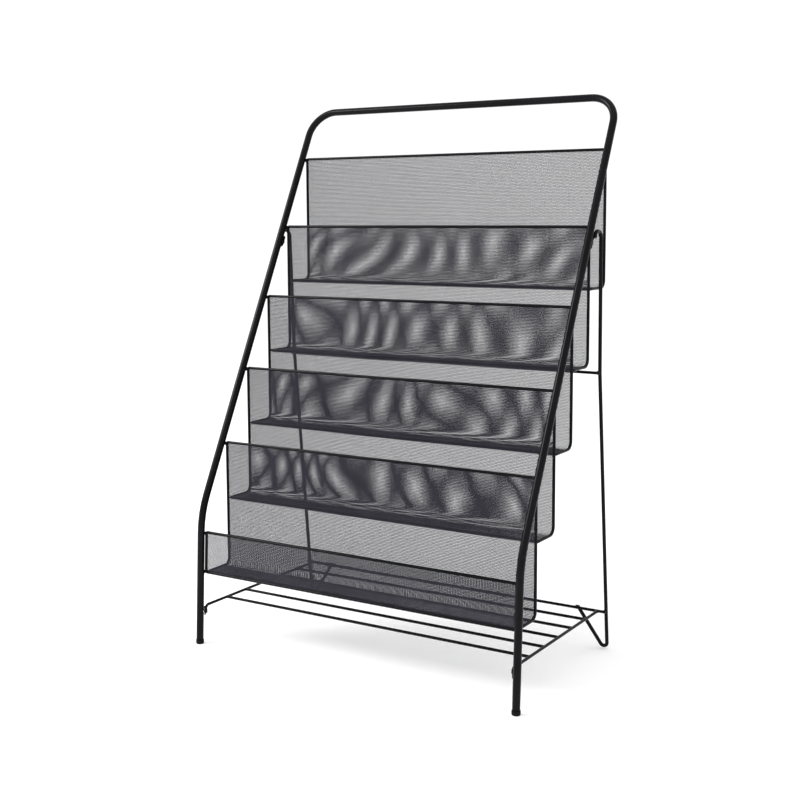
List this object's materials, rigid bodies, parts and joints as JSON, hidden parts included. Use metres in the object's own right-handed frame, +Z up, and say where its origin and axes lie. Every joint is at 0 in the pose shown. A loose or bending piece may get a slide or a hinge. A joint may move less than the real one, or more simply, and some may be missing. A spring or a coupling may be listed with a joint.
{
  "type": "magazine file holder",
  "caption": "Floor-standing magazine rack with stepped mesh trays in a bent tube frame, wire rear legs and a low wire shelf.",
  "frame": {"origin": "floor level, at the middle of the width and of the depth", "axes": "+Z up, -Y towards the user at the front with the lowest tray, +X to the right as seen from the front"},
  "size_m": [0.504, 0.3003, 0.75],
  "materials": {
    "black_powder_coat": "satin black powder coat on steel tube and wire",
    "black_mesh": "satin black powder coat on fine steel mesh",
    "black_plastic": "moulded, matt",
    "black_screw": "black oxide",
    "zinc_insert": "zinc plated"
  },
  "bodies": {
    "root": {"front_frame_tube": "black_powder_coat", "foot_cap_left": "black_plastic", "foot_cap_right": "black_plastic", "tray_1_mesh": "black_mesh", "tray_1_edge_wire": "black_powder_coat", "tray_2_mesh": "black_mesh", "tray_2_edge_wire": "black_powder_coat", "tray_3_mesh": "black_mesh", "tray_3_edge_wire": "black_powder_coat", "tray_4_mesh": "black_mesh", "tray_4_edge_wire": "black_powder_coat", "tray_5_mesh": "black_mesh", "tray_5_edge_wire": "black_powder_coat", "front_panel_mesh": "black_mesh", "front_panel_edge_wire": "black_powder_coat", "rear_leg_left": "black_powder_coat", "rear_leg_right": "black_powder_coat", "rear_cross_bar": "black_powder_coat", "shelf_rear_rail": "black_powder_coat", "shelf_bar_1": "black_powder_coat", "shelf_bar_2": "black_powder_coat", "shelf_bar_3": "black_powder_coat", "shelf_bar_4": "black_powder_coat", "shelf_bar_5": "black_powder_coat", "shelf_side_rail_left": "black_powder_coat", "shelf_side_rail_right": "black_powder_coat", "leg_screw_left": "black_screw", "leg_insert_left": "zinc_insert", "leg_screw_right": "black_screw", "leg_insert_right": "zinc_insert", "shelf_screw_left": "black_screw", "shelf_insert_left": "zinc_insert", "shelf_screw_right": "black_screw", "shelf_insert_right": "zinc_insert"}
  },
  "joints": []
}
